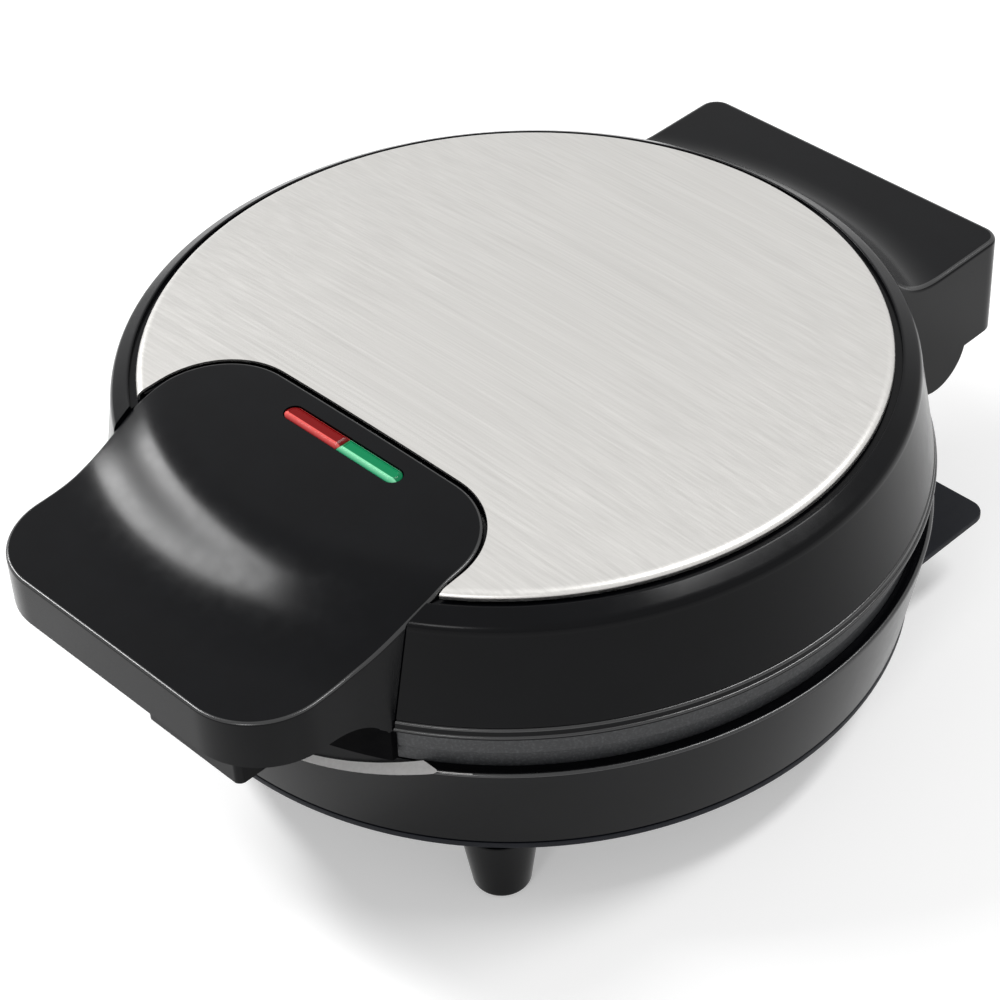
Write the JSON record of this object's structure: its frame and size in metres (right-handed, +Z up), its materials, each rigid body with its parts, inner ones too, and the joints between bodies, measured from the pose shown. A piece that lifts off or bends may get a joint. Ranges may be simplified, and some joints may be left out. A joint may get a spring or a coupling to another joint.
{
  "type": "sandwich maker",
  "caption": "Round countertop sandwich maker, lid closed, with a brushed steel lid plate, a broad swept handle with a pair of signal lamps, and a rear hinge.",
  "frame": {"origin": "on the floor under the feet, on the axis of the round body", "axes": "+Z up; +Y from the handle towards the hinge; +X to the right, seen from the handle"},
  "size_m": [0.2158, 0.2689, 0.1017],
  "materials": {
    "gloss_black": "high gloss moulded plastic",
    "satin_black": "phenolic moulding",
    "cover_black": "black stoved paint",
    "brushed_steel": "straight brushed",
    "non_stick": "cast, with a dark non-stick coating",
    "element_steel": "drawn tube",
    "pressed_steel": "pressed sheet",
    "screw_steel": "plated",
    "red_lens": "clear moulded red",
    "green_lens": "clear moulded green",
    "lamp_glass": "clear",
    "ceramic": "unglazed ceramic or heat-proof moulding",
    "foot_rubber": "matt"
  },
  "bodies": {
    "base": {"base_housing": "gloss_black", "base_bottom_cover": "cover_black", "lower_cooking_plate": "non_stick", "lower_heating_element": "element_steel", "lower_heat_reflector": "pressed_steel", "thermostat": "satin_black", "thermal_fuse": "ceramic", "terminal_block": "ceramic", "cord_gland": "foot_rubber", "front_left_foot": "gloss_black", "front_left_foot_pad": "foot_rubber", "front_left_foot_screw": "screw_steel", "front_right_foot": "gloss_black", "front_right_foot_pad": "foot_rubber", "front_right_foot_screw": "screw_steel", "rear_left_foot": "gloss_black", "rear_left_foot_pad": "foot_rubber", "rear_left_foot_screw": "screw_steel", "rear_right_foot": "gloss_black", "rear_right_foot_pad": "foot_rubber", "rear_right_foot_screw": "screw_steel", "lower_plate_screw_1": "screw_steel", "lower_plate_screw_2": "screw_steel", "lower_plate_screw_3": "screw_steel", "hinge_pin_left": "screw_steel", "hinge_pin_right": "screw_steel"},
    "lid": {"lid_housing": "gloss_black", "lid_cover_plate": "brushed_steel", "handle": "gloss_black", "power_lamp_lens": "red_lens", "ready_lamp_lens": "green_lens", "power_lamp": "lamp_glass", "ready_lamp": "lamp_glass", "lamp_holder": "ceramic", "upper_cooking_plate": "non_stick", "upper_heating_element": "element_steel", "upper_heat_reflector": "pressed_steel", "upper_plate_screw_1": "screw_steel", "upper_plate_screw_2": "screw_steel", "upper_plate_screw_3": "screw_steel", "handle_screw_left": "screw_steel", "handle_screw_right": "screw_steel"}
  },
  "joints": [
    {"name": "lid_hinge", "type": "hinge", "parent": "base", "child": "lid", "pos_m": [0, 0.1086, 0.058], "axis": [-1, 0, 0], "range_deg": [0, 95]}
  ]
}
